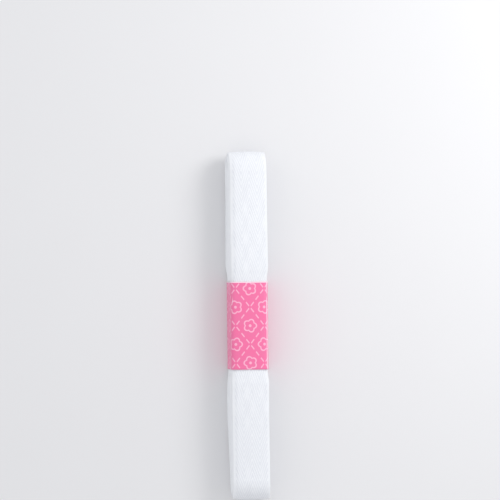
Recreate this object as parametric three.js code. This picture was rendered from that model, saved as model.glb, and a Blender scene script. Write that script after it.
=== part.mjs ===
// Roll of twill tape: one length of cotton tape wound flat into a long hank, held by a paper band.
// Millimetres, +Z up. The hank lies on its broad side: Y is its long axis, X the width of the tape and
// Z the thickness of the stack. The origin is on the surface it lies on, under the middle of the band.
import * as THREE from 'three';
import { mergeVertices } from 'three/addons/utils/BufferGeometryUtils.js';

// Tape and hank
const TAPE_WIDTH = 12.0;
const HANK_LENGTH = 117.0;
const HANK_THICKNESS = 13.2; // at the fullest, beside the band
const END_THICKNESS = 12.7; // where the end bends begin
const END_REACH = 6.9; // how far the round end stands past the last straight stretch
const LEAN = 1.8; // how far the top of the stack stands to +X of its bottom
const EDGE_BEVEL = 0.4; // softened long edge of the outer turn

// The small eye that the innermost turn leaves in each end of the hank
const EYE_LENGTH = 10.0;
const EYE_HALF_HEIGHT = 0.9;
const EYE_NOSE = 1.3;

// Paper band and the waist that it draws into the hank
const BAND_LENGTH = 30.0;
const BAND_HEIGHT = 12.8;
const PAPER_WALL = 0.3;
const BAND_GAP = 0.3;
const BAND_CORNER = 0.9;
const WAIST_RUN = 5.5; // length over which the hank swells again beside the band
const WAIST_SIDE_PRESS = 0.2; // how far the band presses the tape's edges in
const WAIST_STRAIGHTENS = 0.8; // share of the groups' side shift that the band takes away

// Groups of turns, from the innermost out: the share of the stack where each ends, and its side shift
const TURN_GROUPS = [
  { ends: 0.2, shift: 0.25 },
  { ends: 0.38, shift: -0.2 },
  { ends: 0.56, shift: 0.15 },
  { ends: 0.76, shift: -0.35 },
  { ends: 1.0, shift: 0.1 },
];

// Fineness: steps in each stretch of a straight run, round an end and round a corner of the band
const RUN_STEPS = 5;
const END_ARC_STEPS = 14;
const BAND_CORNER_STEPS = 4;

const STRAIGHT_HALF = HANK_LENGTH / 2 - END_REACH;
const EYE_TIP = STRAIGHT_HALF - EYE_LENGTH;
const WAIST_HALF = BAND_LENGTH / 2 + BAND_GAP;
const SWELL_END = WAIST_HALF + WAIST_RUN;
const WAIST_BOTTOM = PAPER_WALL + BAND_GAP;
const WAIST_TOP = BAND_HEIGHT - PAPER_WALL - BAND_GAP;

const smoothstep = THREE.MathUtils.smoothstep;
const lerp = THREE.MathUtils.lerp;

/** How much of the waist is felt at y: 1 under the band, 0 in the full lobes. */
function waistAt(y) {
  return 1 - smoothstep(Math.abs(y), WAIST_HALF, SWELL_END);
}

/** Height of the upper and lower faces of the hank at y: full beside the band, a little less at the ends. */
function facesAt(y) {
  const waist = waistAt(y);
  const towardsEnd = smoothstep(Math.abs(y), SWELL_END, STRAIGHT_HALF);
  const full = lerp(HANK_THICKNESS, END_THICKNESS, towardsEnd);
  return { top: lerp(full, WAIST_TOP, waist), bottom: lerp(0, WAIST_BOTTOM, waist) };
}

/** Half height of the eye at y: nothing along the middle, full where the end bends begin. */
function eyeAt(y) {
  return EYE_HALF_HEIGHT * smoothstep(Math.abs(y), EYE_TIP, STRAIGHT_HALF);
}

/** Side shift of everything at height z, because the stack leans. */
function leanAt(z) {
  return LEAN * (z / HANK_THICKNESS - 0.5);
}

/** Even steps from one value to another, leaving out the first. */
function stepsBetween(from, to, count) {
  return Array.from({ length: count }, (_, i) => lerp(from, to, (i + 1) / count));
}

/** Stations of one loop round the hank: along the top to -Y, round that end, back below, round the other. */
function loopStations() {
  const swell = stepsBetween(WAIST_HALF, SWELL_END, RUN_STEPS);
  const lobe = stepsBetween(SWELL_END, EYE_TIP, RUN_STEPS);
  const eye = stepsBetween(EYE_TIP, STRAIGHT_HALF, RUN_STEPS);
  const half = [WAIST_HALF / 2, WAIST_HALF, ...swell, ...lobe, ...eye];
  const run = [...half.slice().reverse(), 0, ...half.map((y) => -y)];
  const arc = stepsBetween(0, Math.PI, END_ARC_STEPS).slice(0, -1);
  return [
    ...run.map((y) => ({ y, side: 1 })),
    ...arc.map((angle) => ({ y: -STRAIGHT_HALF, out: -Math.sin(angle), side: Math.cos(angle) })),
    ...run.map((y) => ({ y: -y, side: -1 })),
    ...arc.map((angle) => ({ y: STRAIGHT_HALF, out: Math.sin(angle), side: -Math.cos(angle) })),
  ];
}

/** Point (y, z) of a station on the loop that lies the given share of the way out through the stack. */
function loopPoint(station, share) {
  const { top, bottom } = facesAt(station.y);
  const middle = (top + bottom) / 2;
  const half = lerp(eyeAt(station.y), (top - bottom) / 2, share);
  const reach = lerp(EYE_NOSE, END_REACH, share) * (station.out ?? 0);
  return { y: station.y + reach, z: middle + half * station.side };
}

/** One rail of the skin: the loop at a share of the stack, at a side shift and in from the tape's edge. */
function rail(stations, { share, face, shift, inset = 0 }) {
  return stations.map((station) => {
    const { y, z } = loopPoint(station, share);
    const waist = waistAt(station.y);
    const halfWidth = TAPE_WIDTH / 2 - WAIST_SIDE_PRESS * waist - inset;
    const x = face * halfWidth + shift * (1 - WAIST_STRAIGHTENS * waist) + leanAt(z);
    return new THREE.Vector3(x, y, z);
  });
}

/** Rails of one side of the hank, from the eye out to the outer turn, with a ledge between two groups. */
function sideRails(stations, face) {
  const bevelShare = 1 - EDGE_BEVEL / (HANK_THICKNESS / 2);
  const rails = [];
  let starts = 0;
  for (const { ends, shift } of TURN_GROUPS) {
    rails.push(rail(stations, { share: starts, face, shift }));
    rails.push(rail(stations, { share: Math.min(ends, bevelShare), face, shift }));
    starts = ends;
  }
  const outer = TURN_GROUPS[TURN_GROUPS.length - 1];
  rails.push(rail(stations, { share: 1, face, shift: outer.shift, inset: EDGE_BEVEL }));
  return rails;
}

/** Closed skin over a ring of rails. The last strip is laid only where the two stations aren't sealed. */
function skinOf(rails, sealed) {
  const count = rails[0].length;
  const positions = rails.flat().flatMap((point) => point.toArray());
  const indices = [];
  rails.forEach((_, r) => {
    const next = (r + 1) % rails.length;
    for (let i = 0; i < count; i += 1) {
      const j = (i + 1) % count;
      if (next === 0 && sealed(i) && sealed(j)) {
        continue;
      }
      const [a, b, c, d] = [r * count + i, r * count + j, next * count + j, next * count + i];
      indices.push(a, b, c, a, c, d);
    }
  });
  const geometry = new THREE.BufferGeometry();
  geometry.setAttribute('position', new THREE.Float32BufferAttribute(positions, 3));
  geometry.setIndex(indices);
  return mergeVertices(geometry, 1e-4);
}

/** The wound hank, one solid with its waist, its leaning side faces and an eye in each end. */
function tapeRoll() {
  const stations = loopStations();
  const rails = [...sideRails(stations, -1), ...sideRails(stations, 1).reverse()];
  const onMiddle = (i) => stations[i].out === undefined && eyeAt(stations[i].y) === 0;
  const geometry = skinOf(rails, onMiddle);
  const cotton = new THREE.MeshStandardMaterial({ color: 0xf2f5fa, roughness: 0.9, metalness: 0 });
  const mesh = new THREE.Mesh(geometry, cotton);
  mesh.name = 'tape_roll';
  return mesh;
}

/** Outline of the band's section across the hank, a leaning rectangle with round corners. */
function bandOutline(inset) {
  const halfWidth = TAPE_WIDTH / 2 - WAIST_SIDE_PRESS + BAND_GAP + PAPER_WALL - inset;
  const halfHeight = BAND_HEIGHT / 2 - inset;
  const radius = BAND_CORNER - inset;
  const points = [];
  for (const [sx, sz, start] of [[1, 1, 0], [-1, 1, 0.5], [-1, -1, 1], [1, -1, 1.5]]) {
    for (let i = 0; i <= BAND_CORNER_STEPS; i += 1) {
      const angle = Math.PI * (start + (0.5 * i) / BAND_CORNER_STEPS);
      const z = BAND_HEIGHT / 2 + sz * (halfHeight - radius) + radius * Math.sin(angle);
      const x = sx * (halfWidth - radius) + radius * Math.cos(angle) + leanAt(z);
      points.push(new THREE.Vector2(x, z));
    }
  }
  return points;
}

/** The paper band: a thin sleeve round the hank's waist, flat underneath. */
function paperBand() {
  const section = new THREE.Shape(bandOutline(0));
  section.holes.push(new THREE.Path(bandOutline(PAPER_WALL)));
  const geometry = new THREE.ExtrudeGeometry(section, { depth: BAND_LENGTH, bevelEnabled: false });
  const paper = new THREE.MeshStandardMaterial({ color: 0xf787b4, roughness: 0.45, metalness: 0 });
  const mesh = new THREE.Mesh(geometry, paper);
  mesh.name = 'paper_band';
  mesh.rotation.x = Math.PI / 2;
  mesh.position.y = BAND_LENGTH / 2;
  return mesh;
}

const roll = new THREE.Group();
roll.add(tapeRoll(), paperBand());

export default roll;
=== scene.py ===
"""Roll of twill tape: five metres of white cotton tape, wound flat and held by a printed paper band.

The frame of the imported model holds: metres, +Z up, the hank on its broad side, Y along it, X across it.
Sizes of cloth and paper are in millimetres, and become metres when a mesh is made.
"""

import logging
import math
from dataclasses import dataclass
from enum import Enum

import bpy
import numpy as np
from mathutils import Matrix, Vector


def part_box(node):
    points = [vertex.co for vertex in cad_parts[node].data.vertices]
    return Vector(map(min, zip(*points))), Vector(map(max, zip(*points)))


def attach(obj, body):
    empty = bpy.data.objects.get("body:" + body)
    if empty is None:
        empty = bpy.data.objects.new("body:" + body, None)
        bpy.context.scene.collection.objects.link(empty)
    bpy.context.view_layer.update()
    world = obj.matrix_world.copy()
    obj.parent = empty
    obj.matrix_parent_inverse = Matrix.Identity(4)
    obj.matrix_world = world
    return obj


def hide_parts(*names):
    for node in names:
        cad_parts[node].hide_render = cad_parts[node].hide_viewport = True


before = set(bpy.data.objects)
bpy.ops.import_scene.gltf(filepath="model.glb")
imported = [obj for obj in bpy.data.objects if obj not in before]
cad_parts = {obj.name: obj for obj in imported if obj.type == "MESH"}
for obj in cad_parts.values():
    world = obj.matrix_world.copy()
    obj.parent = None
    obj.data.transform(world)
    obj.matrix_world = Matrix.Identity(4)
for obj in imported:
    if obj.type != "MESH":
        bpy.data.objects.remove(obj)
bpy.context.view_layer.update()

Array = np.ndarray
Socket = bpy.types.NodeSocket
Pair = tuple[float, float]
Triple = tuple[float, float, float]
Colour = tuple[float, float, float, float]

MM = 0.001
SEED = 20
WAVE_SPREAD = (0.6, 1.8)  # shortest and longest wave of a slow value, as shares of the middle one
MAP_NAME = "OFBake"
CAPS_SHARE = 0.04  # of a strip's width on the flat map, kept for the two ends of a skin
CAP_ROWS = ((0.9, 0.6), (0.4, 0.1))  # where in that margin the two long edges of each end lie
LOG = logging.getLogger("twill_tape")


def smooth(value: Array, low: float, high: float) -> Array:
    """Rises from 0 at low to 1 at high, level at both."""
    part = np.clip((value - low) / (high - low), 0.0, 1.0)
    return part * part * (3.0 - 2.0 * part)


def blend(start: Array, end: Array, part: Array) -> Array:
    """The value the given part of the way from start to end."""
    return start + (end - start) * part


def beside(*parts: Array) -> Array:
    """Joins numbers into vectors, to which each part gives one number."""
    return np.stack(np.broadcast_arrays(*parts), axis=-1)


def node_box(node: str) -> tuple[Array, Array]:
    """Lowest and highest corner of a node of the frame, in millimetres."""
    low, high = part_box(node)
    return np.array(low) / MM, np.array(high) / MM


def colour(red: float, green: float, blue: float) -> Colour:
    """A linear colour with full alpha."""
    return (red, green, blue, 1.0)


class Slow:
    """A seeded value that wanders slowly as its place goes on."""

    def __init__(self, rng: np.random.Generator, wave: float, size: float = 1.0, waves: int = 5) -> None:
        """Draws the waves.

        Args:
            rng: where the draws come from.
            wave: the middle wavelength, in the unit of the place.
            size: how far the value strays, one standard deviation.
            waves: how many waves are laid over each other.
        """
        self.turns = 2.0 * math.pi / (wave * rng.uniform(*WAVE_SPREAD, waves))
        self.starts = rng.uniform(0.0, 2.0 * math.pi, waves)
        self.size = size * math.sqrt(2.0 / waves)

    def __call__(self, place: Array) -> Array:
        """The value at each place."""
        place = np.asarray(place, float)
        return self.size * np.sin(place[..., None] * self.turns + self.starts).sum(-1)


class Skin:
    """A closed band of quads, swept from rows of section points, as one Blender mesh."""

    def __init__(self, name: str, points: Array, place: Array) -> None:
        """Makes the mesh.

        Args:
            name: the piece's name.
            points: rows by columns by 3, in millimetres, each row once round the section.
            place: rows by columns by 3, what the finish reads at each point.
        """
        self.rows, self.columns = points.shape[:2]
        ids = np.arange(self.rows * self.columns).reshape(self.rows, self.columns)
        right = np.roll(ids, -1, axis=1)
        quads = beside(ids[:-1], ids[1:], right[1:], right[:-1]).reshape(-1, 4)
        faces = quads.tolist() + [ids[0].tolist(), ids[-1, ::-1].tolist()]
        self.mesh = bpy.data.meshes.new(name)
        self.mesh.from_pydata((points.reshape(-1, 3) * MM).tolist(), [], faces)
        self.mesh.polygons.foreach_set("use_smooth", np.ones(len(faces), bool))
        kept = self.mesh.attributes.new("place", "FLOAT_VECTOR", "POINT")
        kept.data.foreach_set("vector", place.astype(np.float32).ravel())
        self.mesh.update()
        self.piece = bpy.data.objects.new(name, self.mesh)
        bpy.context.scene.collection.objects.link(self.piece)

    def lay_out(self, across: Array, turn: int, strips: int) -> None:
        """Lays the skin out on a flat map, cut into equal lengths that lie side by side.

        Args:
            across: place of each column over a strip's width, 0 to 1, with the first one again at 1.
            turn: the column where the section turns back.
            strips: how many lengths the skin is cut into.
        """
        along = np.linspace(0.0, strips, self.rows)
        strip = np.minimum(np.floor((along[:-1] + along[1:]) / 2.0), strips - 1)
        start, end = np.clip([along[:-1] - strip, along[1:] - strip], 0.0, 1.0)
        u = beside(start, end, end, start)[:, None]
        left, right = across[:-1], across[1:]
        width = beside(left, left, right, right) * (1.0 - CAPS_SHARE)
        quads = beside(u, (strip[:, None, None] + width) / strips)
        column = np.arange(self.columns)
        there = np.interp(column, [0, turn, self.columns], [0.0, 1.0, 0.0])
        ends = []
        for outward, back in CAP_ROWS:
            margin = np.where(column > turn, back, outward) * CAPS_SHARE / strips
            ends.append(beside(there, 1.0 - margin))
        flat = np.concatenate([quads.reshape(-1, 2), ends[0], ends[1][::-1]])
        flat_map = self.mesh.uv_layers.new(name=MAP_NAME)
        flat_map.uv.foreach_set("vector", flat.astype(np.float32).ravel())


class Sum(Enum):
    """Arithmetic that a shader can do on one or two numbers."""

    ADD = "ADD"
    SUBTRACT = "SUBTRACT"
    MULTIPLY = "MULTIPLY"
    DIVIDE = "DIVIDE"
    LEAST = "MINIMUM"
    MOST = "MAXIMUM"
    ANGLE = "ARCTAN2"
    COSINE = "COSINE"
    SIZE = "ABSOLUTE"
    PART = "FRACT"
    FLOOR = "FLOOR"
    ROOT = "SQRT"


@dataclass(frozen=True)
class Term:
    """A number that a shader works out at each point, with ordinary arithmetic."""

    tree: "Tree"
    socket: Socket

    def __add__(self, other: "Term | float") -> "Term":
        """This and the other."""
        return self.tree.sum(Sum.ADD, self, other)

    def __sub__(self, other: "Term | float") -> "Term":
        """This less the other."""
        return self.tree.sum(Sum.SUBTRACT, self, other)

    def __mul__(self, other: "Term | float") -> "Term":
        """This times the other."""
        return self.tree.sum(Sum.MULTIPLY, self, other)

    def __truediv__(self, other: "Term | float") -> "Term":
        """This over the other."""
        return self.tree.sum(Sum.DIVIDE, self, other)

    def of(self, kind: Sum) -> "Term":
        """One of the functions of this alone."""
        return self.tree.sum(kind, self)


class Tree:
    """A material's nodes, built from short calls."""

    def __init__(self, name: str) -> None:
        """Starts a material with a Principled shader and nothing else.

        Args:
            name: the material's name.
        """
        self.material = bpy.data.materials.new(name)
        self.material.use_nodes = True
        self.nodes = self.material.node_tree.nodes
        self.links = self.material.node_tree.links
        self.nodes.clear()
        self.shader = self.add("BsdfPrincipled", {})
        self.add("OutputMaterial", {"Surface": self.shader.outputs["BSDF"]})

    def feed(self, socket: Socket, value: object) -> None:
        """Links a Term or socket to a socket, or sets the number or colour on it.

        Args:
            socket: the socket that is fed.
            value: what feeds it.
        """
        if isinstance(value, Term):
            self.links.new(value.socket, socket)
        elif isinstance(value, Socket):
            self.links.new(value, socket)
        else:
            socket.default_value = value

    def add(self, kind: str, inputs: dict[str | int, object], **choices: str) -> bpy.types.Node:
        """Adds a node.

        Args:
            kind: its type, without the prefix that all shader nodes share.
            inputs: what feeds its sockets, by name or number.
            choices: its own settings.

        Returns:
            The node.
        """
        node = self.nodes.new(f"ShaderNode{kind}")
        for name, choice in choices.items():
            setattr(node, name, choice)
        for name, value in inputs.items():
            self.feed(node.inputs[name], value)
        return node

    def sum(self, kind: Sum, first: Term | float, second: Term | float = 0.0) -> Term:
        """One step of arithmetic on one or two numbers."""
        return Term(self, self.add("Math", {0: first, 1: second}, operation=kind.value).outputs[0])

    def place(self) -> tuple[Socket, Term, Term, Term]:
        """The stored place of a point, as a vector and as its three numbers."""
        vector = self.add("Attribute", {}, attribute_name="place").outputs["Vector"]
        return vector, *(Term(self, socket) for socket in self.add("SeparateXYZ", {0: vector}).outputs)

    def noise(self, vector: Socket, scale: Triple, detail: float = 2.0) -> Term:
        """Cloudy noise from 0 to 1, with scale clouds in one unit along each axis of the vector."""
        at = self.add("VectorMath", {0: vector, 1: scale}, operation="MULTIPLY").outputs[0]
        return Term(self, self.add("TexNoise", {"Vector": at, "Scale": 1.0, "Detail": detail}).outputs[0])

    def step(self, value: Term, low: float, high: float) -> Term:
        """A smooth step from 0 at low to 1 at high, where low may be the greater of the two."""
        inputs = {"Value": value, "From Min": low, "From Max": high}
        return Term(self, self.add("MapRange", inputs, interpolation_type="SMOOTHSTEP").outputs["Result"])

    def mix(self, part: Term, first: object, second: object) -> Socket:
        """The colour that is the given part of the way from the first to the second."""
        inputs = {"Factor": part, "A": first, "B": second}
        return self.add("Mix", inputs, data_type="RGBA").outputs["Result"]

    def bump(self, height: Term, depth: float, strength: float) -> None:
        """Gives the shader a fine relief, depth metres high where the height is 1."""
        inputs = {"Strength": strength, "Distance": depth, "Height": height}
        self.set(Normal=self.add("Bump", inputs).outputs["Normal"])

    def set(self, **sockets: object) -> None:
        """Sets or links the shader's own sockets, by name with _ for a blank."""
        for name, value in sockets.items():
            self.feed(self.shader.inputs[name.replace("_", " ")], value)


@dataclass(frozen=True)
class CottonFinish:
    """Bleached cotton yarn: white with a blue cast, with painted shade between the yarns, dull with a soft
    sheen.
    """

    yarn: Colour = colour(0.895, 0.912, 0.943)
    slub: Colour = colour(0.86, 0.878, 0.912)
    # painted shade for the grooves between the yarns
    groove_shade: Colour = colour(0.78, 0.80, 0.85)
    groove_shade_range: Pair = (-0.01, -0.07)  # mm over the crests: where the painted shade starts, where it is full
    streaks: Triple = (4.0, 0.35, 0.0)  # per mm across and along the tape
    clouds: Triple = (0.25, 0.08, 0.0)
    streak_share: float = 0.6  # of the two in how slubby the yarn looks
    slub_range: Pair = (0.35, 0.72)
    twist: float = 0.11  # mm between the twists of a yarn
    fuzz: float = 0.00004  # m
    roughness: float = 0.88
    sheen: float = 0.25
    gloss: float = 0.25

    def material(self) -> bpy.types.Material:
        """Builds the node material.

        Returns:
            The material, which reads the place across and along the tape and the height, in mm; the height
            sets the painted shade between the yarns.
        """
        tree = Tree("bleached_cotton")
        vector, _, _, lift = tree.place()
        streaks = tree.noise(vector, self.streaks, detail=3.0)
        clouds = tree.noise(vector, self.clouds, detail=1.0)
        fibre = tree.noise(vector, (1.0 / self.twist, 0.5 / self.twist, 0.0), detail=4.0)
        slubby = streaks * self.streak_share + clouds * (1.0 - self.streak_share)
        crest = tree.mix(tree.step(slubby, *self.slub_range), self.yarn, self.slub)
        # painted shade in the grooves, darker the deeper a point lies below the crests
        tree.set(Base_Color=tree.mix(tree.step(lift, *self.groove_shade_range), crest, self.groove_shade))
        tree.set(Roughness=self.roughness, Specular_IOR_Level=self.gloss)
        tree.set(Sheen_Weight=self.sheen, Sheen_Roughness=0.5)
        tree.bump(fibre, depth=self.fuzz, strength=0.5)
        return tree.material


@dataclass(frozen=True)
class PrintedPaperFinish:
    """Smooth pink paper, printed with a lattice of running stitches and a blossom in each diamond."""

    pink: Colour = colour(0.89, 0.155, 0.36)
    faded: Colour = colour(0.85, 0.17, 0.37)
    mark: Colour = colour(0.95, 0.44, 0.61)
    # pale bare paper, for the unprinted margins and the fold lines; on the folds and the far edge it is
    # partly painted highlight
    fibre: Colour = colour(0.95, 0.72, 0.81)
    clouds: Triple = (0.3, 0.3, 1.0)  # per mm
    faded_range: Pair = (0.3, 0.75)
    diamond: Pair = (9.6, 12.4)  # mm, width round the band and height along it
    blossom: float = 1.9  # mm, middle radius of a blossom's outline
    petal: float = 0.30  # how deep the petals are cut, as a share of the radius
    petals: int = 5
    petal_mean: float = 0.6  # about the mean of a petal's curve, so that the middle radius holds
    turned: float = 1.9  # radians from one blossom to the next
    ring_ink: Pair = (0.2852, 0.1748)  # mm from the middle of a line: where its ink ends, where it is full
    dot_ink: Pair = (0.529, 0.391)
    stitch_ink: Pair = (0.2392, 0.1472)
    stitches: int = 3  # along one side of a diamond
    stitch_end: Pair = (0.33, 0.28)  # pitches from the middle of a stitch: where it ends, where it is full
    crease: Pair = (0.34, 0.068)  # mm from a fold: where its pale line of wear and painted highlight ends, where it is full
    rub_and_highlight_patches: Triple = (1.2, 0.16, 1.0)  # per mm
    rub_and_highlight_least: Pair = (0.30, 0.58)  # how strong a patch shows, on the lit right fold, which gets more of the pale line, and on the other
    rub_and_highlight_rise: float = 0.16
    rub_and_highlight_strength: float = 0.75
    bare_and_highlight_far: float = 0.42  # mm of unprinted paper along the far cut edge, partly a painted highlight of the light falling on that edge
    bare_near: float = 0.12  # and along the near one
    bare_rise: float = 0.1  # mm over which the print ends
    grain: Triple = (6.0, 6.0, 1.0)  # per mm
    grain_depth: float = 0.00001  # m
    roughness: float = 0.42
    coat: float = 0.25
    coat_roughness: float = 0.28

    def material(self, half_length: float, folds: Pair) -> bpy.types.Material:
        """Builds the node material.

        Args:
            half_length: from the band's middle to its cut edge, in mm.
            folds: where round the band its two upper folds lie, in mm, the lit right one with the stronger
                pale line first.

        Returns:
            The material, which reads the place round and along the band in mm.
        """
        tree = Tree("printed_paper")
        vector, across, along, _ = tree.place()
        clouds = tree.noise(vector, self.clouds)
        ground = tree.mix(tree.step(clouds, *self.faded_range), self.pink, self.faded)
        face = tree.mix(self.marks(tree, across, along), ground, self.mark)
        # a pale line along each upper fold: partly worn paper, partly painted highlight, stronger on the
        # lit right fold
        for fold, least in zip(folds, self.rub_and_highlight_least, strict=True):
            rub_and_highlight = self.rub_and_highlight(tree, vector, (across - fold).of(Sum.SIZE), least)
            face = tree.mix(rub_and_highlight, face, self.fibre)
        # pale margins along the cut edges: unprinted paper, and on the far edge partly painted highlight
        far_start, near_start = half_length - self.bare_and_highlight_far, self.bare_near - half_length
        far = tree.step(along, far_start, far_start + self.bare_rise)
        near = tree.step(along, near_start, near_start - self.bare_rise)
        tree.set(Base_Color=tree.mix(tree.sum(Sum.MOST, far, near), face, self.fibre))
        tree.set(Roughness=self.roughness, Specular_IOR_Level=0.5)
        tree.set(Coat_Weight=self.coat, Coat_Roughness=self.coat_roughness)
        tree.bump(tree.noise(vector, self.grain, detail=3.0), depth=self.grain_depth, strength=0.35)
        return tree.material

    def rub_and_highlight(self, tree: Tree, vector: Socket, off: Term, least: float) -> Term:
        """How pale the paper is painted at a distance off a fold, in the patches stronger than least:
        partly worn print, partly painted highlight.
        """
        patches = tree.step(tree.noise(vector, self.rub_and_highlight_patches), least, least + self.rub_and_highlight_rise)
        return tree.step(off, *self.crease) * patches * self.rub_and_highlight_strength

    def marks(self, tree: Tree, across: Term, along: Term) -> Term:
        """The printed marks.

        Args:
            tree: the material's nodes.
            across: place round the band, in mm.
            along: place along the band, in mm.

        Returns:
            The mask of blossoms and stitches.
        """
        width, height = self.diamond
        u, v = across / width, along / height
        rise, fall = u + v, u - v
        rise_number, fall_number = (rise + 0.5).of(Sum.FLOOR), (fall + 0.5).of(Sum.FLOOR)
        in_rise, in_fall = rise - rise_number, fall - fall_number
        x = (in_rise + in_fall) * (width / 2.0)
        y = (in_rise - in_fall) * (height / 2.0)
        blossom = self.blossom_mask(tree, x, y, rise_number * 2.0 + fall_number)
        seams = tree.sum(Sum.MOST, self.seam(tree, in_rise, fall), self.seam(tree, in_fall, rise))
        return tree.sum(Sum.MOST, blossom, seams)

    def blossom_mask(self, tree: Tree, x: Term, y: Term, number: Term) -> Term:
        """The outline and the dot of a blossom.

        Args:
            tree: the material's nodes.
            x: place round the band from the blossom's middle, in mm.
            y: place along the band from there.
            number: the diamond's number, by which the blossom is turned.

        Returns:
            The mask of the blossom.
        """
        radius = (x * x + y * y).of(Sum.ROOT)
        angle = tree.sum(Sum.ANGLE, y, x) + number * self.turned
        lobes = (angle * (self.petals / 2.0)).of(Sum.COSINE).of(Sum.SIZE)
        outline = (lobes * self.petal + (1.0 - self.petal_mean * self.petal)) * self.blossom
        ring = tree.step((radius - outline).of(Sum.SIZE), *self.ring_ink)
        dot = tree.step(radius, *self.dot_ink)
        return tree.sum(Sum.MOST, ring, dot)

    def seam(self, tree: Tree, off: Term, down: Term) -> Term:
        """Stitches along one side of a diamond.

        Args:
            tree: the material's nodes.
            off: place across that side, in diamonds from the diamond's middle.
            down: place along it, in diamonds.

        Returns:
            The mask of the stitches.
        """
        width, height = self.diamond
        slope = math.hypot(1.0 / width, 1.0 / height)
        away = (off.of(Sum.SIZE) * -1.0 + 0.5) / slope
        line = tree.step(away, *self.stitch_ink)
        dash = ((down + 0.5) * self.stitches).of(Sum.PART)
        thread = tree.step((dash - 0.5).of(Sum.SIZE), *self.stitch_end)
        return tree.sum(Sum.LEAST, line, thread)


@dataclass(frozen=True)
class CutPaperFinish:
    """The pale, slightly furry edge and back of cut paper, tinted by the print."""

    tint: Colour = colour(0.93, 0.76, 0.83)
    pulp: Colour = colour(0.95, 0.9, 0.92)
    grain: Triple = (12.0, 12.0, 12.0)  # per mm
    grain_depth: float = 0.00002  # m

    def material(self) -> bpy.types.Material:
        """Builds the node material.

        Returns:
            The material, which reads the place round and along the band in mm.
        """
        tree = Tree("cut_paper_edge")
        vector, _, _, _ = tree.place()
        fibre = tree.noise(vector, self.grain, detail=3.0)
        tree.set(Base_Color=tree.mix(fibre, self.tint, self.pulp), Roughness=0.9)
        tree.bump(fibre, depth=self.grain_depth, strength=0.6)
        return tree.material


@dataclass(frozen=True)
class FloorFinish:
    """A pale matt studio floor."""

    grey: Colour = colour(0.765, 0.765, 0.78)
    light_grey: Colour = colour(0.775, 0.775, 0.79)
    specks: Triple = (40.0, 40.0, 40.0)  # per metre

    def material(self) -> bpy.types.Material:
        """Builds the node material.

        Returns:
            The material, which reads the place in the scene.
        """
        tree = Tree("pale_floor")
        speck = tree.noise(tree.add("NewGeometry", {}).outputs["Position"], self.specks)
        tree.set(Base_Color=tree.mix(speck, self.grey, self.light_grey))
        tree.set(Roughness=0.95, Specular_IOR_Level=0.1)
        return tree.material


@dataclass
class HankForm:
    """The wound form: how high the stack is along the hank, how its ends bend and how it leans. In mm."""

    end_reach: float = 6.9  # how far a round end stands past the last straight stretch
    end_thickness: float = 12.7  # of the stack where the end bends begin
    lean: float = 1.8  # how far the top of the stack stands to +X of its bottom
    near_lean: float = 0.9  # what is left of it at the near end
    near_run: float = 32.0  # length of the near lobe over which it lessens
    eye_length: float = 10.0
    eye_half_height: float = 0.7
    eye_nose: float = 1.2
    waist_low: float = 0.28
    waist_high: float = 12.70
    waist_run: float = 5.5  # length over which the hank swells beside the band
    waist_inside: float = 0.4  # how far inside the band it starts to swell
    band_trim: float = 0.3  # how much shorter the strip is than its solid at each end
    arc_weight: float = 12.3  # length of an end bend, by which places along a turn are counted
    crown: float = 0.5  # how far the edges of the top lie below its middle
    crown_below: float = 0.12  # and how far the edges of the underside lie above its middle
    droop: float = 0.45  # how much further the top's left edge hangs
    droop_run: float = 1.6  # over this width of it

    def __post_init__(self) -> None:
        """Takes the hank's length and height, and the band's reach, from the frame."""
        low, high = node_box("tape_roll")
        band_low, band_high = node_box("paper_band")
        self.thickness = float(high[2] - low[2])
        self.half_run = float(high[1]) - self.end_reach
        self.half_length = self.half_run + self.end_reach
        self.band_half = float(band_high[1] - band_low[1]) / 2.0 - self.band_trim

    def waist(self, y: Array) -> Array:
        """1 under the band and 0 in the full lobes."""
        edge = self.band_half - self.waist_inside
        return 1.0 - smooth(np.abs(y), edge, edge + self.waist_run)

    def heights(self, y: Array) -> tuple[Array, Array]:
        """Height of the stack's faces.

        Args:
            y: place along the hank.

        Returns:
            Height of the underside and of the top.
        """
        waist = self.waist(y)
        swell_end = self.band_half + self.waist_run
        full = blend(self.thickness, self.end_thickness, smooth(np.abs(y), swell_end, self.half_run))
        return blend(0.0, self.waist_low, waist), blend(full, self.waist_high, waist)

    def eye(self, y: Array) -> Array:
        """Half height of the small eye that the innermost turn leaves at y."""
        return self.eye_half_height * smooth(np.abs(y), self.half_run - self.eye_length, self.half_run)

    def lean_at(self, y: Array, z: Array) -> Array:
        """Shift along X at y and z: the top keeps its place, the underside swings in near the end."""
        swing = smooth(-y, self.half_length - self.near_run, self.half_length)
        return self.lean / 2.0 - blend(self.lean, self.near_lean, swing) * (1.0 - z / self.thickness)

    def crown_of(self, up: Array) -> Array:
        """Crown of a face by how far it looks up, 1 for the top and -1 for the underside."""
        return blend(self.crown_below, self.crown, (1.0 + up) / 2.0)


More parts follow.
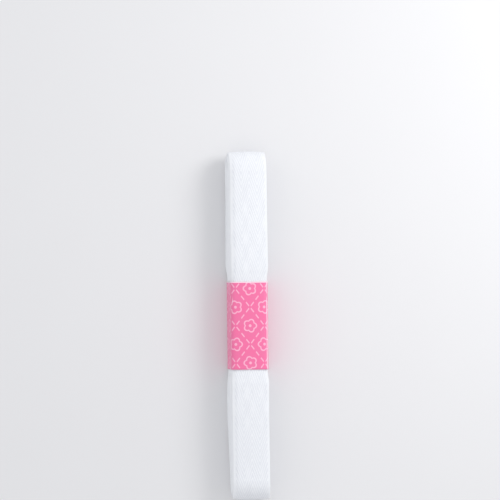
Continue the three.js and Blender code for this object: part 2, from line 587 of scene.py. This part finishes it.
@dataclass
class Winding:
    """The spiral that the tape follows, seen from the side, from the middle of the hank out. In mm."""

    form: HankForm
    cloth_length: float = 5000.0
    cloth_thickness: float = 0.23
    outer_end: float = 12.5  # y of the tape's outer end, on the underside beneath the band
    steps_per_turn: int = 1200
    turns_sought: Pair = (15.0, 30.0)  # the number of turns lies between these
    halvings: int = 30
    spread: float = 0.028  # how unevenly the layers of the lobes lie
    turn_offset: float = 9.0  # how far the unevenness moves on from one turn to the next
    ripple: float = 0.05  # soft dents in the outer turns
    side_offset: float = 80.0  # how far apart the dents of the top and of the underside are drawn
    ripple_fade: int = 8  # the power by which the dents fade inwards

    def __post_init__(self) -> None:
        """Finds the number of turns that takes up the whole tape, and lays it."""
        rng = np.random.default_rng(SEED)
        self.unrest = Slow(rng, wave=14.0, size=self.spread, waves=9)
        self.dents = Slow(rng, wave=21.0, size=self.ripple)
        self.end_phase = (self.outer_end / self.lap()) % 1.0
        few, many = self.turns_sought
        for _ in range(self.halvings):
            self.turns = (few + many) / 2.0
            few, many = (self.turns, many) if self.lay() < self.cloth_length else (few, self.turns)

    def lap(self) -> float:
        """Length of a middle turn, by which places along a turn are counted."""
        return 4.0 * self.form.half_run + 2.0 * self.form.arc_weight

    def lay(self) -> float:
        """Lays the spiral for the present number of turns.

        Returns:
            Its length.
        """
        count = int(self.turns * self.steps_per_turn) + 1
        self.turn = np.linspace(0.0, self.turns, count)
        y, z = self.at(self.turn)
        steps = np.hypot(np.diff(y), np.diff(z))
        self.gone = np.concatenate([[0.0], np.cumsum(steps)])
        return float(self.gone[-1])

    def at(self, turn: Array) -> tuple[Array, Array]:
        """Place of the tape's middle line.

        Args:
            turn: turns wound so far, from 0 at the inner end.

        Returns:
            Y and Z in mm.
        """
        form = self.form
        travel = ((turn - self.turns + self.end_phase) % 1.0) * self.lap()
        run, arc = form.half_run, form.arc_weight
        stops = np.cumsum([0.0, run, arc, 2.0 * run, arc, run])
        y = np.interp(travel, stops, [0.0, run, run, -run, -run, 0.0])
        angle = np.radians(np.interp(travel, stops, [-90.0, -90.0, 90.0, 90.0, 270.0, 270.0]))
        up = np.sin(angle)
        low, high = form.heights(y)
        share = turn / self.turns
        cloth = self.cloth_thickness / 2.0
        half = blend(form.eye(y) + cloth, (high - low) / 2.0 - cloth, share)
        reach = blend(form.eye_nose + cloth, form.end_reach - cloth, share)
        loose = (1.0 - form.waist(y)) * np.abs(up)
        slack = self.unrest(y + self.turn_offset * turn) * np.sin(math.pi * np.clip(share, 0.0, 1.0))
        dent = self.dents(y * np.sign(up) + self.side_offset) - 2.0 * self.ripple
        half = half + loose * (slack + dent * share**self.ripple_fade)
        return y + reach * np.cos(angle), (low + high) / 2.0 + half * up


@dataclass
class BandSection:
    """Section of the waist and of the paper round it: a leaning box with soft folds and a crown. In mm."""

    form: HankForm
    tape_half: float = 6.06  # from the middle of the section to where the paper holds the tape's edges
    clearance: float = 0.08  # from the tape to the middle of the paper
    slack: float = 0.08  # how much more of it there is beside the tape's edges
    squareness: float = 9.5

    def __post_init__(self) -> None:
        """Works out the paper's box from the pressed stack."""
        self.half_width = self.tape_half + self.clearance + self.slack
        self.half_height = (self.form.waist_high - self.form.waist_low) / 2.0 + self.clearance
        self.middle_height = (self.form.waist_high + self.form.waist_low) / 2.0

    def drawn_in(self, across: Array, up: Array) -> Array:
        """How much nearer the middle a point of a plain box comes when its corners are made soft.

        Args:
            across: place across the box, from -1 to 1.
            up: height in the box, from -1 to 1.

        Returns:
            The share of its distance that is left, 1 away from the corners.
        """
        across, up = np.abs(across), np.abs(up)
        size = (across**self.squareness + up**self.squareness) ** (1.0 / self.squareness)
        return np.maximum(across, up) / np.maximum(size, 1.0e-6)

    def outline(self, start: float, turns: float, count: int) -> tuple[Array, Array]:
        """Points of the paper's middle line.

        Args:
            start: angle where it begins, as seen from the middle of the section.
            turns: how often it goes round.
            count: number of points.

        Returns:
            The angles, and the points (x, z) from the middle of the section.
        """
        angle = start + np.linspace(0.0, 2.0 * math.pi * turns, count)
        across = np.abs(np.cos(angle) / self.half_width) ** self.squareness
        up = np.abs(np.sin(angle) / self.half_height) ** self.squareness
        radius = (across + up) ** (-1.0 / self.squareness)
        x, z = radius * np.cos(angle), radius * np.sin(angle)
        crown = self.form.crown_of(np.sign(z)) * (x / self.half_width) ** 2
        return angle, beside(x, z * (1.0 - crown / self.half_height))


class Rows:
    """Rows of section points along a stretch of the tape."""

    def __init__(self, winding: Winding, gone: Array) -> None:
        """Reads the spiral where the rows stand.

        Args:
            winding: the spiral.
            gone: millimetres along the tape of each row.
        """
        nudge = 1.0e-4
        self.gone = gone
        self.turn = np.interp(gone, winding.gone, winding.turn)
        self.y, self.z = winding.at(self.turn)
        run = np.subtract(winding.at(self.turn + nudge), winding.at(self.turn - nudge)).T
        run /= np.linalg.norm(run, axis=-1, keepdims=True)
        self.out_y, self.out_z = run[:, 1], -run[:, 0]
        self.share = self.turn / winding.turns


@dataclass(frozen=True)
class Stretch:
    """A stretch of the tape that is one piece, with where it starts and ends in mm along the tape."""

    name: str
    start: float
    end: float

    def steps(self, step: float) -> Array:
        """The whole steps that lie in it."""
        return np.arange(math.ceil(self.start / step), math.floor(self.end / step) + 1) * step


@dataclass
class TwillTape:
    """The tape itself: its width, yarns and herringbone relief, wound along the spiral. In mm."""

    form: HankForm
    winding: Winding
    section: BandSection
    width: float = 12.0
    ends: int = 64  # warp yarns across the tape
    selvedge_ends: int = 4
    columns: int = 4  # of the herringbone
    pick: float = 0.57  # from one weft yarn to the next
    float_picks: int = 4  # picks in one repeat of the twill
    twill_depth: float = 0.045
    selvedge_rise: float = 0.5  # middle height of the selvedge's yarns, where the twill's is 0
    selvedge_beat: float = 0.4
    unevenness: float = 0.2  # how unevenly the twill is beaten
    firm_range: Pair = (0.3, 1.7)  # its least and greatest depth, as shares of the plain one
    groove: float = 0.03
    scallop: float = 0.025  # how far the weft draws the edges in and out
    scallop_run: float = 0.3  # this far from them
    rim: Pair = (0.16, 0.06)  # the face rounds off from so far inside the edge to so far outside it
    rim_share: float = 0.75
    turned: Pair = (0.01, 0.05)  # the edge lies so far outside the face's edge, the back's so far inside
    face_inset: float = 0.1  # this near an edge, the finish reads no height
    bevel: float = 0.07  # width of a plain stretch's slanting edge
    group_ends: tuple[float, ...] = (0.0, 0.19, 0.21, 0.37, 0.39, 0.55, 0.57, 0.75, 0.77, 1.0)
    group_shifts: tuple[float, ...] = (0.25, 0.25, -0.2, -0.2, 0.15, 0.15, -0.38, -0.38, 0.0, 0.0)
    waist_straightens: float = 0.8  # share of the side shifts that the band takes away
    rows_per_pick: int = 4
    coarse_row: float = 1.2  # where the band hides the tape
    hidden_from: float = 0.8  # inside the band's edge

    def __post_init__(self) -> None:
        """Draws how each turn strays to the side, and how the weave runs and is beaten."""
        rng = np.random.default_rng(SEED + 1)
        self.stray = Slow(rng, wave=1.3, size=0.10, waves=9)
        self.wander = Slow(rng, wave=45.0, size=0.05, waves=7)
        self.skew = Slow(rng, wave=55.0, size=0.16)
        self.firm_along = Slow(rng, wave=8.0)
        self.firm_across = Slow(rng, wave=20.0)

    def shift(self, rows: Rows) -> Array:
        """Side shift of each row, by its group of turns and its own stray."""
        own = np.interp(rows.share, self.group_ends, self.group_shifts) + self.stray(rows.turn)
        return (own + self.wander(rows.gone)) * (1.0 - self.waist_straightens * self.form.waist(rows.y))

    def sag(self, rows: Rows, across: Array, waist: Array) -> Array:
        """How far the tape's edges lie nearer the middle of the stack than its middle line.

        Args:
            rows: the rows.
            across: place of each section point across the tape.
            waist: 1 under the band and 0 in the full lobes, for each row.

        Returns:
            Rows by columns.
        """
        half = self.width / 2.0
        hang = self.form.droop * smooth(-across, half - self.form.droop_run, half)
        hang = hang * np.maximum(rows.out_z, 0.0)[:, None] * (1.0 - waist)
        crown = self.form.crown_of(rows.out_z)[:, None] * (across / half) ** 2
        return (crown + hang) * rows.share[:, None]

    def sweep(self, name: str, rows: Rows, across: Array, lift: Array, edge: Array) -> Skin:
        """Makes a stretch of tape.

        Args:
            name: the piece's name.
            rows: where its rows stand.
            across: place of each section point across the tape.
            lift: rows by columns or columns, height of each point over the tape's middle line.
            edge: columns, 1 on the selvedges and 0 between them.

        Returns:
            The stretch as a closed skin.
        """
        waist = self.form.waist(rows.y)[:, None]
        beat = np.cos(2.0 * math.pi * rows.gone / self.pick)[:, None]
        wide = across + self.scallop * beat * edge * np.sign(across)
        low, high = (height[:, None] for height in self.form.heights(rows.y))
        middle = (low + high) / 2.0
        up = rows.z[:, None] + rows.out_z[:, None] * lift - middle
        x = wide + self.shift(rows)[:, None]
        most = self.section.tape_half
        x = blend(x, np.clip(x, -most, most), waist)
        drawn = blend(1.0, self.section.drawn_in(x / most, 2.0 * up / (high - low)), waist)
        sag = self.sag(rows, across, waist)
        y = rows.y[:, None] + rows.out_y[:, None] * (lift - sag)
        z = middle + up * drawn - rows.out_z[:, None] * sag
        x = x * drawn + self.form.lean_at(y, z)
        # height below the crests, from which the finish paints shade into the grooves
        depth = np.minimum(np.abs(lift) - self.winding.cloth_thickness / 2.0, 0.0)
        depth = depth * (np.abs(across) < self.width / 2.0 - self.face_inset)
        place = beside(across, rows.gone[:, None], depth)
        return Skin(name, beside(x, y, z), place)

    def plain(self, stretch: Stretch) -> Skin:
        """Makes a stretch of the inner turns, of which little more than the selvedges shows.

        Args:
            stretch: the stretch.

        Returns:
            Its closed skin.
        """
        rows = Rows(self.winding, stretch.steps(self.pick / 2.0))
        half, thin = self.width / 2.0, self.winding.cloth_thickness / 2.0
        flat = half - self.bevel
        across = np.array([-half, -flat, flat, half, flat, -flat])
        lift = np.array([0.0, thin, thin, 0.0, -thin, -thin])
        edge = np.array([1.0, 0.0, 0.0, 1.0, 0.0, 0.0])
        skin = self.sweep(stretch.name, rows, across, lift, edge)
        skin.lay_out(np.array([0.0, 0.2, 0.3, 0.5, 0.7, 0.8, 1.0]), turn=3, strips=64)
        return skin

    def fine_rows(self, stretch: Stretch) -> Array:
        """Rows of an outer stretch: fine where it shows and coarse beneath the band.

        Args:
            stretch: the stretch.

        Returns:
            Millimetres along the tape of each row.
        """
        step = self.pick / self.rows_per_pick
        every = stretch.steps(step)
        turn = np.interp(every, self.winding.gone, self.winding.turn)
        hidden = np.abs(self.winding.at(turn)[0]) < self.form.band_half - self.hidden_from
        stride = round(self.coarse_row / step)
        keep = ~hidden | (np.arange(len(every)) % stride == 0)
        keep[[0, -1]] = True
        return every[keep]

    def woven(self, stretch: Stretch) -> Skin:
        """Makes a stretch of the outer turn, with its herringbone relief.

        Args:
            stretch: the stretch.

        Returns:
            Its closed skin.
        """
        rows = Rows(self.winding, self.fine_rows(stretch))
        half, thin = self.width / 2.0, self.winding.cloth_thickness / 2.0
        face = np.linspace(-half, half, 2 * self.ends + 1)
        rim = smooth(np.abs(face), half - self.rim[0], half + self.rim[1])
        outer = (thin + self.relief(rows.gone)) * (1.0 - self.rim_share * rim)
        outside, inside = half + self.turned[0], half - self.turned[1]
        back = np.array([inside, half * 0.5, 0.0, -half * 0.5, -inside])
        across = np.concatenate([face, [outside], back, [-outside]])
        under = np.concatenate([[0.0], np.full(len(back), -thin), [0.0]])
        under = np.broadcast_to(under, (len(rows.gone), len(under)))
        edge = smooth(np.abs(across), half - self.scallop_run, half)
        skin = self.sweep(stretch.name, rows, across, np.concatenate([outer, under], axis=1), edge)
        count, last = len(across), 2 * self.ends
        skin.lay_out(np.interp(np.arange(count + 1), [0, last, count], [0.0, 0.86, 1.0]), last, strips=3)
        return skin

    def relief(self, gone: Array) -> Array:
        """Height of the yarns on the tape's face, 0 on the crests and below 0 between them.

        Args:
            gone: millimetres along the tape of each row.

        Returns:
            Rows by columns, each yarn's crest between two grooves.
        """
        end = np.arange(self.ends)
        body = self.ends - 2 * self.selvedge_ends
        column = np.clip((end - self.selvedge_ends) * self.columns // body, 0, self.columns - 1)
        way = np.where(column % 2 == 0, 1.0, -1.0)
        first = self.selvedge_ends + column * body / self.columns
        phase = way * (end - first) / self.float_picks + 0.5 * (column % 2)
        repeat = gone[:, None] / (self.pick * self.float_picks) + self.skew(gone)[:, None]
        twill = np.clip(2.0 * np.cos(2.0 * math.pi * (repeat - phase)), -1.0, 1.0)
        plain = np.cos(2.0 * math.pi * (gone[:, None] / (2.0 * self.pick) + 0.5 * end))
        in_selvedge = (end < self.selvedge_ends) | (end >= self.ends - self.selvedge_ends)
        up = np.where(in_selvedge, self.selvedge_beat * plain + self.selvedge_rise, twill)
        firm = 1.0 + self.unevenness * self.firm_along(gone)[:, None] * self.firm_across(end)
        crest = -self.twill_depth * np.clip(firm, *self.firm_range) * (1.0 - up) / 2.0
        heights = np.empty((len(gone), 2 * self.ends + 1))
        heights[:, 1::2] = crest
        heights[:, 2:-1:2] = np.minimum(crest[:, 1:], crest[:, :-1]) - self.groove
        heights[:, [0, -1]] = crest[:, [0, -1]] - self.groove
        return heights

    def build(self) -> list[bpy.types.Object]:
        """Makes the tape in four stretches that follow each other, and dresses them.

        Returns:
            The pieces, from the inner end of the tape to its outer end.
        """
        winding = self.winding
        seams = np.interp([winding.turns - 1.0, winding.turns - 0.5], winding.turn, winding.gone)
        outer_from = math.floor(seams[0] / self.pick) * self.pick
        middle = round(outer_from * 0.5 / self.pick) * self.pick
        over_top = round(float(seams[1]) / self.pick) * self.pick
        stretches = [
            Stretch("tape_inner_turns", 0.0, middle),
            Stretch("tape_middle_turns", middle, outer_from),
            Stretch("tape_outer_far", outer_from, over_top),
            Stretch("tape_outer_near", over_top, winding.cloth_length),
        ]
        skins = [self.plain(stretch) for stretch in stretches[:2]]
        skins += [self.woven(stretch) for stretch in stretches[2:]]
        cotton = CottonFinish().material()
        for skin, stretch in zip(skins, stretches, strict=True):
            skin.mesh.materials.append(cotton)
            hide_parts("tape_roll")
            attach(skin.piece, "root")
        LOG.info("%.2f turns, inner end at y %.1f mm", winding.turns, winding.at(np.array([0.0]))[0][0])
        return [skin.piece for skin in skins]


@dataclass
class PaperBand:
    """The printed paper strip, wrapped once round the waist and glued to itself beneath. In mm."""

    form: HankForm
    section: BandSection
    paper: float = 0.1
    lap: float = 7.0  # how far the two ends of the strip overlap
    lap_gap: float = 0.012  # for the glue
    lap_rise: Pair = (1.3, 0.1)  # the over end climbs between so far and so far before the overlap
    lap_start: float = -3.5  # x where the under end begins, on the underside
    step: float = 0.22
    row: float = 0.5
    dent: float = 0.012
    slant: float = 0.7  # how far a dent runs round the band for each mm along it
    pressed: Pair = (0.2, 0.9)  # by how far the paper looks down: its dents start to fade, are gone
    flare: float = 0.03  # how far the cut edges stand off
    flare_run: float = 1.6

    def wrap(self) -> tuple[Array, Array, Array]:
        """The paper's middle line from one end of the strip to the other, before it leans.

        Returns:
            Points (x, z), their outward directions and their distance along the strip.
        """
        start = math.atan2(-self.section.half_height, self.lap_start)
        angle, line = self.section.outline(start, turns=1.25, count=20000)
        gone = np.concatenate([[0.0], np.cumsum(np.linalg.norm(np.diff(line, axis=0), axis=1))])
        once_round = float(np.interp(start + 2.0 * math.pi, angle, gone))
        total = once_round + self.lap
        places = np.linspace(0.0, total, round(total / self.step) + 1)
        points = beside(*(np.interp(places, gone, line[:, i]) for i in (0, 1)))
        run = np.gradient(points, axis=0)
        run /= np.linalg.norm(run, axis=-1, keepdims=True)
        out = beside(run[:, 1], -run[:, 0])
        climb = smooth(places, once_round - self.lap_rise[0], once_round - self.lap_rise[1])
        return points + out * ((self.paper + self.lap_gap) * climb)[:, None], out, places

    def swell(self, places: Array, y: Array) -> Array:
        """How far the paper stands off its plain section: soft dents, and flared cut edges.

        Args:
            places: millimetres round the band of each column.
            y: place along the hank of each row.

        Returns:
            Rows by columns.
        """
        rng = np.random.default_rng(SEED + 2)
        round_waves, long_waves, tilt = (Slow(rng, wave) for wave in (9.0, 14.0, 11.0))
        slanting = tilt(places + self.slant * y[:, None])
        dents = round_waves(places) * long_waves(y)[:, None] + slanting
        half = self.form.band_half
        edge = smooth(np.abs(y), half - self.flare_run, half)[:, None]
        proud = 0.5 + 0.5 * np.clip(tilt(places), -1.0, 1.0)
        return self.dent * dents + self.flare * edge * proud

    def build(self) -> list[bpy.types.Object]:
        """Makes the strip and dresses its faces and its cut edges.

        Returns:
            The band.
        """
        middle, out, places = self.wrap()
        half = self.form.band_half
        y = np.linspace(half, -half, round(2.0 * half / self.row) + 1)
        swell = self.swell(places, y) * (1.0 - smooth(-out[:, 1], *self.pressed))
        along = y[:, None]
        faces = []
        for side in (0.5, -0.5):
            offset = swell + side * self.paper
            x = middle[:, 0] + out[:, 0] * offset
            z = self.section.middle_height + middle[:, 1] + out[:, 1] * offset
            faces.append(beside(x + self.form.lean_at(along, z), along, z))
        points = np.concatenate([faces[0], faces[1][:, ::-1]], axis=1)
        printed = places[-1] / 2.0 - places
        both = np.concatenate([printed, printed[::-1]])
        place = beside(both, along, 0.0)
        skin = Skin("paper_band_strip", points, place)
        last = len(places) - 1
        stops = [0, last, last + 1, 2 * last + 1, 2 * last + 2]
        flat = np.interp(np.arange(2 * last + 3), stops, [0.0, 0.72, 0.74, 0.98, 1.0])
        skin.lay_out(flat, turn=last, strips=1)
        folds = [np.argmin(np.hypot(out[:, 0] - side, out[:, 1] - 1.0)) for side in (1, -1)]
        self.dress(skin, tuple(float(printed[fold]) for fold in folds))
        return [skin.piece]

    def dress(self, skin: Skin, folds: Pair) -> None:
        """Prints the outer face, leaves the back plain and the cut edges pale.

        Args:
            skin: the strip.
            folds: where round the band its upper folds lie.
        """
        mesh = skin.mesh
        mesh.materials.append(PrintedPaperFinish().material(self.form.band_half, folds))
        mesh.materials.append(CutPaperFinish().material())
        column = np.arange(len(mesh.polygons)) % skin.columns
        printed = column < skin.columns // 2 - 1
        printed[-2:] = False
        mesh.polygons.foreach_set("material_index", np.where(printed, 0, 1))
        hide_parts("paper_band")
        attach(skin.piece, "root")


@dataclass(frozen=True)
class Lamp:
    """A square lamp that faces the hank: its place and size in metres, its power and its tint."""

    name: str
    place: Triple
    size: float
    watts: float
    tint: Triple


@dataclass
class Studio:
    """A pale floor, soft light from the upper right, and the camera straight above."""

    form: HankForm
    key: Lamp = Lamp("key", (0.21, 0.14, 0.21), 0.14, 0.39, (1.0, 0.995, 0.985))
    fill: Lamp = Lamp("fill", (-0.25, 0.25, 0.354), 0.40, 0.15, (0.985, 0.99, 1.0))
    sky: Colour = colour(0.98, 0.985, 1.0)
    sky_strength: float = 0.835
    floor_half: float = 2.0  # m
    floor_gap: float = 0.00002  # m between the floor and the hank
    frame_px: float = 500.0
    px_per_mm: float = 3.0
    band_px: Pair = (247.6, 325.7)  # where the band's middle lies in the picture
    sensor: float = 36.0
    distance: float = 1.2  # m from the top of the waist
    roll_deg: float = 0.64

    def build(self) -> None:
        """Sets up the floor, the lights, the world and the camera."""
        self.floor()
        self.light(self.key)
        self.light(self.fill)
        self.world()
        self.camera()

    def floor(self) -> None:
        """A wide floor just under the hank."""
        size = self.floor_half
        mesh = bpy.data.meshes.new("studio_floor")
        corners = [(-size, -size, 0.0), (size, -size, 0.0), (size, size, 0.0), (-size, size, 0.0)]
        mesh.from_pydata(corners, [], [(0, 1, 2, 3)])
        mesh.materials.append(FloorFinish().material())
        floor = bpy.data.objects.new("studio_floor", mesh)
        floor.location.z = -self.floor_gap
        bpy.context.scene.collection.objects.link(floor)

    def light(self, lamp: Lamp) -> None:
        """Hangs a lamp, which the camera doesn't see.

        Args:
            lamp: the lamp.
        """
        area = bpy.data.lights.new(lamp.name, "AREA")
        area.size = lamp.size
        area.energy = lamp.watts
        area.color = lamp.tint
        holder = bpy.data.objects.new(lamp.name, area)
        holder.location = lamp.place
        holder.rotation_euler = (-Vector(lamp.place)).to_track_quat("-Z", "Y").to_euler()
        holder.visible_camera = False
        bpy.context.scene.collection.objects.link(holder)

    def world(self) -> None:
        """Even light from all round, and colours shown as they are."""
        world = bpy.data.worlds.new("studio")
        world.use_nodes = True
        back = world.node_tree.nodes["Background"]
        back.inputs["Color"].default_value = self.sky
        back.inputs["Strength"].default_value = self.sky_strength
        scene = bpy.context.scene
        scene.world = world
        scene.view_settings.view_transform = "Standard"

    def camera(self) -> None:
        """Puts the camera above the hank, so that it shows at the picture's size and place."""
        camera = bpy.data.cameras.new("camera")
        top = self.form.waist_high * MM
        across = self.frame_px / self.px_per_mm * MM
        camera.sensor_width = self.sensor
        camera.lens = camera.sensor_width * self.distance / across
        holder = bpy.data.objects.new("camera", camera)
        middle = self.frame_px / 2.0
        off = Vector((middle - self.band_px[0], self.band_px[1] - middle, 0.0)) * MM / self.px_per_mm
        turn = Matrix.Rotation(math.radians(-self.roll_deg), 3, "Z")
        holder.location = turn @ off + Vector((0.0, 0.0, top + self.distance))
        holder.rotation_euler = turn.to_euler()
        bpy.context.scene.collection.objects.link(holder)
        bpy.context.scene.camera = holder


def main() -> None:
    """Builds the studio, the tape and its band in order, and reports each piece."""
    logging.basicConfig(level=logging.INFO, format="%(name)s %(message)s")
    form = HankForm()
    Studio(form).build()
    section = BandSection(form)
    pieces = TwillTape(form, Winding(form), section).build() + PaperBand(form, section).build()
    for piece in pieces:
        LOG.info("%s: %d faces", piece.name, len(piece.data.polygons))


if __name__ == "__main__":
    main()
